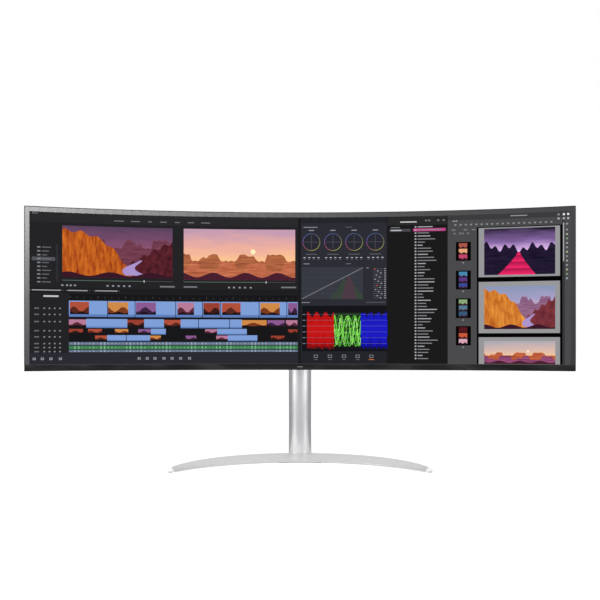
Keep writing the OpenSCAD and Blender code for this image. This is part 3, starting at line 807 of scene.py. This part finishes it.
# The cut films lie on four tracks, over three strips of sound.
CLIP_SKIES = ("b0503a", "d08a48", "8a5a90", "b87a98", "9a4030")
CLIP_GROUNDS = ("5a2a20", "7a3a20", "3a2440", "5a2a38", "3a1c18")


def film_clip(left, right, low, high, kind):
    """A blue clip with one small still: a band of sky, lit cliffs and dark ground."""
    patch(CLIP_SKIES[kind % 5], left, right, low, high, 4)
    rise = [(high - low) * (0.42 + 0.22 * sin(1.3 * step + 2.1 * kind)) for step in range(7)]
    skyline(lit_colour(CLIP_GROUNDS[kind % 5]), left, right, low, rise, 5)
    skyline(lit_colour("201418"), left, right, low,
            [(high - low) * (0.16 + 0.08 * cos(1.7 * step + kind)) for step in range(7)], 6)


# Each track: low and high edge, the blue runs, the stills on them, and the seams between runs
TRACKS = (
    (119, 154.5, ((-514, -5),),
     ((-512, -471), (-430, -386), (-369, -325), (-277, -240), (-219, -182), (-177, -135), (-90, -46),
      (-27, -6)), (-431, -371, -281, -221, -180, -93, -30)),
    (94.6, 114.6, ((-477, -388), (-351, -307), (-270, -132)),
     ((-514, -477), (-388, -351), (-307, -270), (-132, -76), (-74, -35), (-32, -6)), (-160, -230)),
    (80.2, 93.2, ((-336, -303), (-188, -121)),
     ((-514, -484), (-473, -443), (-415, -386), (-364, -336), (-215, -188), (-27, -6)), ()),
    (65.7, 78.8, ((-432, -338), (-164, -97)),
     ((-458, -432), (-338, -314), (-259, -235), (-190, -164), (-66, -35)), (-390,)),
)
kind = 0
for low, high, blues, stills, seams in TRACKS:
    for left, right in blues:
        patch("7f9fd8", left, right, low, high, 3)
        patch("5f7fbc", left, right, low, low + (high - low) * 0.16, 4)
    for left, right in stills:
        film_clip(left, right, low + (high - low) * 0.16, high - (high - low) * 0.07, kind)
        kind += 1
    for seam in seams:
        patch("2a3550", seam - 0.8, seam + 0.8, low, high, 6)
for code, wave_code, low, high in (
        ("66748c", "98a6bc", 56.8, 63.4), ("3f7a50", "79b488", 47, 55.4), ("66748c", "98a6bc", 41, 45.6)):
    patch(code, -514, -5, low, high, 3)
    for wave in range(63):
        swell = (high - low) * 0.42 * abs(sin(wave * 0.9) * cos(wave * 0.37)) + 0.3
        left, middle = -511 + wave * 8, (low + high) / 2
        patch(wave_code, left, left + 3.4, middle - swell, middle + swell, 4)
for up in (137, 123.6, 108, 88, 74.6, 60, 51.3, 42.4):
    patch(FAINT, -587, -577, up - 1.4, up + 1.4, 3)
    marks(MID, (-566, -555, -544, -533), up, 3.6, 2.8, 3)
patch("2b2b33", -596, -4, 14.5, 39, 2)
TOOL_ICONS = (-587, -570, -552, -532, -362, -344, -327, -307, -289, -270, -250)
marks(SOFT, TOOL_ICONS, 26.8, 6.5, 5.2, 3)
marks("2b2b33", TOOL_ICONS, 26.8, 3.0, 2.2, 4)
close_sheet(editor)


# ---- Display picture: the two previews and the pages ----
# Each still is one sheet: a sky that fades from its horizon up, with thin cloud, a sun, and rows of
# mesas cut in strata. They are of no real place.
def sky_light(name, low_up, high_up, horizon, middle, top):
    """A sky that fades upward between two heights above the head's lower edge, with faint cloud."""
    material, shader = glowing(name)
    tree = material.node_tree
    place = add_node(tree, "TexCoord")
    apart = add_node(tree, "SeparateXYZ")
    rise = add_node(tree, "MapRange", From_Min=head_bottom + low_up * MM, From_Max=head_bottom + high_up * MM)
    stretched = add_node(tree, "Mapping", Scale=(14, 14, 70))
    cloud = add_node(tree, "TexNoise", Scale=1, Detail=6)
    drift = add_node(tree, "MapRange", From_Min=0.3, From_Max=0.7, To_Min=-0.13, To_Max=0.13)
    total = add_node(tree, "Math")
    wire(tree, (place, "Object", apart, 0), (apart, "Z", rise, "Value"),
         (place, "Object", stretched, "Vector"), (stretched, 0, cloud, "Vector"),
         (cloud, "Fac", drift, "Value"), (rise, "Result", total, 0), (drift, "Result", total, 1))
    fade = ((0, light_of(horizon)), (0.45, light_of(middle)), (1, light_of(top)))
    tree.links.new(ramp_of(tree, total.outputs[0], *fade), shader.inputs["Emission Color"])
    return material


def rock_light(name, shade, lit_side, stretch=(26, 26, 260)):
    """Cliffs in bands of shade and light."""
    material, shader = glowing(name)
    tree = material.node_tree
    place = add_node(tree, "TexCoord")
    strata = add_group(tree, BRUSH, Stretch=stretch)
    wire(tree, (place, "Object", strata, "Vector"))
    tree.links.new(tinted(tree, strata.outputs["Lines"], light_of(shade), light_of(lit_side)),
                   shader.inputs["Emission Color"])
    return material


def mesa_heights(count, base, rise, seed):
    """Flat-topped hills with steep sides."""
    heights = []
    for step in range(count):
        wave = sin(step * 0.55 + seed) + 0.6 * sin(step * 1.31 + 2.7 * seed)
        plateau = 1 / (1 + exp(-7 * wave))
        heights.append(base + rise * (0.75 * plateau + 0.08 * sin(step * 2.9 + seed) + 0.17))
    return heights


def still_of(name, left, right, low, high, sky_codes, layer=4):
    """Opens a sheet with a sky on it."""
    sheet = open_sheet(name)
    sky = sky_light(name + "_sky", low + (high - low) * 0.35, high, *sky_codes)
    patch("", left, right, low, high, layer, material=sky)
    return sheet


def desert_still(name, left, right, low, high, codes, seed, sun):
    """codes: horizon, middle and top of the sky, then shade and light of the far and near rocks."""
    sheet = still_of(name, left, right, low, high, codes[:3])
    tall = high - low
    disc(sun, left + (right - left) * 0.62, low + tall * 0.56, tall * 0.05, 5)
    far = rock_light(name + "_far_rock", *codes[3:5])
    near = rock_light(name + "_near_rock", *codes[5:7])
    skyline(far, left, right, low, mesa_heights(41, tall * 0.34, tall * 0.18, seed), 6)
    skyline(near, left, right, low, mesa_heights(41, tall * 0.14, tall * 0.24, seed * 1.7 + 2), 7)
    skyline(lit_colour("4a2030"), left, right, low,
            [tall * (0.10 + 0.05 * sin(step * 0.9 + seed)) for step in range(25)], 8)
    close_sheet(sheet)


def valley_still(name, left, right, low, high, codes, seed):
    """A river valley: a lit cliff on the left, a shaded one on the right, and mesas between them.
    codes: horizon, middle and top of the sky, then shade and light of mesas, lit cliff, shaded cliff."""
    sheet = still_of(name, left, right, low, high, codes[:3])
    wide, tall = right - left, high - low
    mesas = rock_light(name + "_mesas", *codes[3:5])
    lit_cliff = rock_light(name + "_lit_cliff", *codes[5:7], stretch=(150, 150, 34))
    dark_cliff = rock_light(name + "_dark_cliff", *codes[7:9], stretch=(90, 90, 60))
    skyline(mesas, left, right, low, mesa_heights(41, tall * 0.55, tall * 0.22, seed), 5)
    skyline(dark_cliff, left + wide * 0.52, right, low,
            [tall * (0.06 + 0.66 * (step / 24) ** 0.7 + 0.04 * sin(step * 1.3 + seed))
             for step in range(25)], 6)
    skyline(lit_cliff, left, left + wide * 0.62, low,
            [tall * (0.92 - 0.10 * (step / 24) - 0.74 * (step / 24) ** 3 + 0.035 * sin(step * 1.1 + seed))
             for step in range(25)], 7)
    for step in range(26):
        near = step / 26
        bend = left + wide * (0.66 - 0.06 * sin(near * 4.2))
        half = wide * (0.085 * (1 - near) ** 1.4 + 0.012)
        patch(("a890cc", "b098d0")[step % 2], bend - half, bend + half,
              low + tall * (0.05 + 0.30 * near), low + tall * (0.05 + 0.30 * (near + 0.04)), 8)
    skyline(lit_colour("3a1828"), left, right, low,
            [tall * (0.07 + 0.04 * sin(step * 0.7 + seed)) for step in range(25)], 9)
    close_sheet(sheet)


MAUVE = ("b0707c", "845070", "5c4460", "5a2c40", "844a5c", "8a2c14", "e07828", "34141c", "6c2a34")
PEACH = ("ffc890", "eeb0a0", "c49cb4", "8a4434", "c87a4c", "a04c30", "d8805c")
valley_still("left_preview", -528, -288, 206, 319, MAUVE, 0.7)
desert_still("right_preview", -263, -11, 203.6, 319, PEACH, 2.2, "fff0c0")


# ---- Display picture: colour window ----
# Four colour wheels with cross hairs, a tone curve, a column of sliders, and a scope of red, green and
# blue light.
colour_window = open_sheet("colour_window")
patch("2c2d35", 2, 197, 14.5, 347)
patch("25262c", 2, 197, 334, 347, 2)
patch(MID, 8, 40, 323.4, 325.4, 2)
patch(DIM, 104, 118, 323.4, 325.4, 2)
RIM = ("6858a0", "505c9c", "4c6090", "48587c", "5a6470", "747850", "8c9048", "9ca04c",
       "a09a50", "90704c", "984858", "8c4c80")
WHEEL_UP = 290.8


def pick_rim(hub, part):
    """Selects the faces of a wheel's rim that lie in one of its equal parts, counted from the top."""
    net = bmesh.from_edit_mesh(bpy.context.object.data)
    for face in net.faces:
        spoke = face.calc_center_median() - hub
        face.select = 18 < spoke.length < 21 and abs(spoke.z) < 0.01
        if face.select:
            turn = (1.25 - Vector((spoke.x, spoke.y)).angle_signed(Vector((0, 1)), 0) / (2 * pi)) % 1
            face.select = int(turn * len(RIM)) == part
    bmesh.update_edit_mesh(bpy.context.object.data)


for middle in (26, 75, 123, 171):
    disc(MID, middle, WHEEL_UP, 20, 2, 48)
    bpy.ops.mesh.inset(thickness=1.3)
    for part, code in enumerate(RIM):
        pick_rim(Vector((middle, WHEEL_UP, layer_height(2))), part)
        give_selected(lit_colour(code))
    disc("2a2a34", middle, WHEEL_UP, 18.6, 3, 48)
    patch("5c5c64", middle - 16, middle + 16, 290.4, 291.2, 4)
    patch("5c5c64", middle - 0.4, middle + 0.4, 274.8, 306.8, 4)
    patch(SOFT, middle - 6, middle + 6, 316.4, 318.4, 2)
    patch(FAINT, middle - 13, middle + 13, 262.4, 263.8, 2)
    for tick in range(4):
        left = middle - 18 + tick * 10.5
        patch(BRIGHT, left, left + 5, 254.6, 256.2, 2)
        patch("7a7b80", left + 1, left + 4, 251.0, 252.2, 2)
patch(MID, 8, 22, 240.4, 242.2, 2)
patch(FAINT, 104, 116, 240.4, 242.2, 2)
patch("373a42", 4, 143, 161, 234, 2)
for line in range(1, 6):
    patch("40434c", 4 + line * 23.2, 4.6 + line * 23.2, 161, 234, 3)
    patch("40434c", 4, 143, 161 + line * 12.2, 161.6 + line * 12.2, 3)
skyline(lit_colour("38453c"), 70, 143, 161, [6, 14, 20, 34, 46, 40, 30, 34, 24, 16, 8], 4)
skyline(lit_colour("4c3a44"), 95, 128, 161, [4, 26, 44, 56, 46, 30, 6], 5)
for step in range(35):
    left = 4 + step * 3.97
    patch("a4a5a8", left, left + 4.1, 162.2 + step * 2.02, 163.1 + step * 2.02, 6)
patch(MID, 150, 156, 231, 232.6, 2)
for step in range(15):
    up = 229 - step * 4.7
    patch("5c5d64", 166, 188, up, up + 0.9, 2)
    knob = 168 + (7 * step) % 17
    patch("c8503c" if step % 8 == 0 else "a0a1a6", knob, knob + 3, up - 0.7, up + 1.6, 3)
    patch(SOFT, 191, 195, up - 0.5, up + 1.4, 3)
patch(MID, 4, 22, 152.5, 154.3, 2)
patch(DIM, 150, 194, 152.5, 154.3, 2)
patch("16161a", 4, 197, 42, 146, 2)
patch("b81414", 16, 77.5, 54, 132, 3)
patch("1c3418", 77.5, 138, 54, 130, 3)
patch("1818b4", 138, 197, 54, 132, 3)
for step in range(21):
    left = 16 + step * 2.93
    rise, fall = 6 * sin(step * 1.1) + 4 * cos(step * 2.3), 6 * cos(step * 0.9)
    patch("8a1010", left, left + 2.2, 46 + abs(rise), 58 + rise, 4)
    patch("d81c18", left + 0.4, left + 1.5, 76 + rise, 112 + fall, 4)
    patch("16161a", left, left + 2.95, 126 + fall, 132.2, 5)
    patch("10108a", left + 122, left + 124.2, 46 + abs(fall), 60 + fall, 4)
    patch("2222d8", left + 122.4, left + 123.5, 72 + fall, 116 + rise, 4)
    patch("16161a", left + 122, left + 124.95, 127 + rise * 0.6, 132.2, 5)
# The green strands: colour, turn for each step, first turn, middle height and swing
for code, turn, first, high, swing in (
        ("6cd83c", 0.31, 1.9, 92, 30), ("4aa830", 0.47, 0.4, 84, 26), ("8ae85c", 0.23, 3.1, 100, 22),
        ("5cc038", 0.39, 4.4, 74, 20), ("a8f07c", 0.55, 2.6, 88, 30), ("3c8c2c", 0.29, 5.2, 108, 16),
        ("78d850", 0.62, 0.9, 96, 28), ("58b040", 0.43, 1.1, 70, 16)):
    for step in range(40):
        left = 77.5 + step * 1.51
        here, after = (high + swing * sin(number * turn + first) for number in (step, step + 1))
        patch(code, left, left + 1.51, min(here, after) - 0.5, max(here, after) + 0.5, 4)
for line in range(6):
    patch("6a6a80", 6, 197, 60 + line * 13.2, 60.5 + line * 13.2, 6)
    patch(MID, 6, 12, 59.4 + line * 13.2, 61 + line * 13.2, 6)
patch("24252b", 2, 197, 14.5, 41, 2)
marks(MID, (36, 68, 100, 131, 162), 31, 9, 7, 3)
marks("24252b", (36, 68, 100, 131, 162), 31, 6.6, 4.6, 4)
marks(FAINT, (36, 68, 100, 131), 23.6, 8, 1.2, 3)
patch("d87830", 156, 168, 23, 24.4, 3)
close_sheet(colour_window)


# ---- Display picture: file window ----
# Patches of light on the glass again: a plain list of files, shown as bars, with one row picked out
# in pink.
file_window = open_sheet("file_window")
patch("1b1b1c", 198.5, 331.5, 14.5, 347)
patch("2a2a2b", 198.5, 331.5, 327, 347, 2)
patch(BRIGHT, 227, 264, 333, 335.6, 3)
marks("7a7b80", (285, 292, 312, 324), 337, 4.6, 3.4, 3)
patch("7a7b80", 206, 226, 321, 323, 3)
patch("4a4b50", 203, 250, 312.6, 319, 2)
patch(BRIGHT, 206, 230, 314.6, 316.8, 3)
for row in range(44):
    up = 323 - row * 6.9
    if row == 1:
        patch("c04488", 256, 328.5, up - 3.2, up + 3.4, 2)
    long = 26 + 11 * sin(row * 1.9) + 9 * sin(row * 0.7 + 1) + (8 if row in (1, 3, 4) else 0)
    patch("b0b1b4", 259.6, 263.2, up - 1.6, up + 1.6, 3)
    patch("88898c" if row % 3 else "b0b1b4", 266, 266 + max(long, 11), up - 1.0, up + 1.0, 3)
close_sheet(file_window)


# ---- Display picture: page window ----
# A grey window with tool rows, four small strips of stills, and three large pages on black. Two of the
# pages hold stills like the previews.
page_window = open_sheet("page_window")
patch("4b4b4d", 333, 597, 14.5, 347)
patch("3c3c3e", 333, 597, 336, 347, 2)
patch(SOFT, 470, 506, 341, 343, 3)
marks("b8b9bc", (346, 352), 334, 4, 2, 3)
marks("e8e9ec", (583, 592), 341, 4.4, 4.4, 3)
marks(MID, (572,), 341, 4.4, 4.4, 3)
marks("b8b9bc", (572, 583, 592), 332, 4, 4, 3)
marks(MID, [350 + 11.5 * step for step in range(19)], 325.5, 4.6, 3.4, 3)
marks(MID, (346, 372, 390), 314, 8, 2, 3)
marks("7a7b80", (348, 360, 366, 378), 306, 4, 4, 3)
STRIPS = ((245, 287, ("c04868", "e8a878", "a85848")), (181, 223, ("3a4a90", "5a3a80", "4888b0")),
          (117, 161, ("385878", "587890", "88a878")), (56, 99, ("d8a8b8", "c85838", "581820")))
for low, high, codes in STRIPS:
    patch("060607", 351, 384, low, high, 3)
    third = (high - low - 4) / 3
    for number, code in enumerate(codes):
        bottom = low + 2 + number * third
        patch(code, 357.5, 376, bottom + 0.6, bottom + third - 0.6, 4)
        skyline(lit_colour("401c28"), 357.5, 376, bottom + 0.6,
                [third * (0.22 + 0.14 * sin(1.9 * step + number + low)) for step in range(7)], 5)
    patch("a8a9ac", 365.5, 368.5, low - 5.4, low - 3.4, 3)
patch("050506", 397, 580, 14.5, 319, 2)
for low, high in ((207.5, 317), (83, 197), (14.5, 74)):
    patch("98989a", 401, 575, low, high, 3)
patch("38383a", 580, 585, 14.5, 330, 3)
patch("b0b1b4", 581.4, 583.6, 239, 323, 4)
marks(SOFT, [589.5], 320, 4.4, 3.4, 3)
for step in range(12):
    code = (SOFT, "b0b890", "88a088", "a8a8b0")[step % 4]
    patch(code, 587.6, 591.4, 305.5 - step * 9.6, 309 - step * 9.6, 3)
close_sheet(page_window)

valley_still("middle_page", 413, 565, 92, 187,
             ("d8b0c8", "a8a0c8", "8c98b8", "6c4468", "a87898", "b04c18", "f0a040", "5c2430", "8c3c40"), 1.4)
desert_still("low_page", 413, 565, 14.8, 65.7,
             ("f0c8a0", "d8b8b0", "b0acb4", "8a3c2c", "e87848", "5c2c50", "b05c88"), 3.3, "ffe8c0")


# ---- Display picture: the road page ----
# The third page is a night road under a lilac glow. The road narrows towards the hills in short
# steps.
road_page = open_sheet("road_page")
night_sky = sky_light("night_glow", 262, 314, "e8c0f4", "8a6aa8", "12121c")
patch("", 413, 565, 212, 314.5, 5, material=night_sky)
ground = rock_light("night_ground", "100c1c", "2c2240")
skyline(ground, 413, 565, 212,
        [58 + 6 * sin(step * 1.1) + 5 * sin(step * 0.43 + 1) + 0.16 * abs(step - 22) ** 1.2
         for step in range(45)], 6)
for step in range(14):
    near, far = step / 14, (step + 1) / 14
    wide = 42 * (1 - near) ** 1.25 + 1.2
    shade = ("f02868", "dc2460", "c82058", "b01c50")[step % 4]
    patch(shade, 488 - wide, 488 + wide * 0.8, 212 + 50 * near, 212 + 50 * far, 7)
close_sheet(road_page)


# ---- Head: electronics ----
# Glass-cloth circuit boards with a lacquered skin and fine copper tracks, joined by flat film cables,
# and paper-coned speakers in black boxes. All are screwed to the chassis.
def circuit_board(name, dark, light):
    """Lacquer over a web of tracks: a fine brick pattern whose lines are a little lighter."""
    material, shader = principled(name, light, 0.34)
    tree = material.node_tree
    place = add_node(tree, "TexCoord")
    apart = add_node(tree, "SeparateXYZ")
    flat = add_node(tree, "CombineXYZ")
    half_way = [0.5 * (d + l) for d, l in zip(dark, light)]
    tracks = add_node(tree, "TexBrick", Scale=190, Mortar_Size=0.035, Color1=(*dark, 1),
                      Color2=(*half_way, 1), Mortar=(*light, 1))
    bump = add_node(tree, "Bump", Distance=0.0001, Strength=0.3)
    wire(tree, (place, "Object", apart, 0), (apart, "X", flat, "X"), (apart, "Z", flat, "Y"),
         (flat, 0, tracks, "Vector"), (tracks, "Color", shader, "Base Color"),
         (tracks, "Fac", bump, "Height"), (bump, "Normal", shader, "Normal"))
    return material


green_board = circuit_board("green_lacquer", (0.010, 0.085, 0.040), (0.035, 0.19, 0.085))
tan_board = circuit_board("tan_lacquer", (0.26, 0.15, 0.06), (0.42, 0.27, 0.12))
film_cable = brushed_metal(
    "film_cable", (0.55, 0.46, 0.30), (0.78, 0.70, 0.52), (0.32, 0.44), (1400, 60, 30), 0.05)
paper_cone = moulded("paper_cone", (0.10, 0.10, 0.105), (0.17, 0.17, 0.175), (0.62, 0.8), 1200, 0.4)
dress(green_board, "main_board", "driver_board", "joystick_board")
dress(tan_board, "power_board")
dress(film_cable, "signal_ribbon", "panel_ribbons")
dress(black_nylon, "speaker_boxes")
dress(paper_cone, "speaker_drivers")
dress(zinc_plate, "connector_bracket")


# ---- Head: sockets ----
# Pressed steel shells stand in the bay under the housing, mouths down. The audio socket and the mains
# inlet are black mouldings.
dress(zinc_plate, "video_sockets", "data_sockets")
dress(black_nylon, "audio_socket", "mains_inlet")
dress(black_oxide, "cover_screws")


# ---- Head: joystick ----
# A small black nylon cap under the middle of the chin, beaded round its side. It is pushed onto a
# steel stick, which rocks in a bronze gimbal.
dress(bronze, "joystick_gimbal")
dress(ground_steel, "joystick_stick")
refined("joystick_cap", "joystick_button", "joystick_tip", black_nylon, 0.0006, 3, 40)
cap_low, cap_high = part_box("joystick_cap")
cap_middle = (cap_low + cap_high) / 2
bead_reach, bead_r = (cap_high.x - cap_low.x) / 2 + 0.02 * MM, 0.22 * MM
grip = [ring_of("bead", (cap_middle.x, cap_middle.y, cap_low.z + up * MM), bead_reach, bead_r, (0, 0, 0))
        for up in (1.6, 2.4, 3.2)]
finish_piece(joined(grip, "joystick_beads"), "joystick_tip", black_nylon)
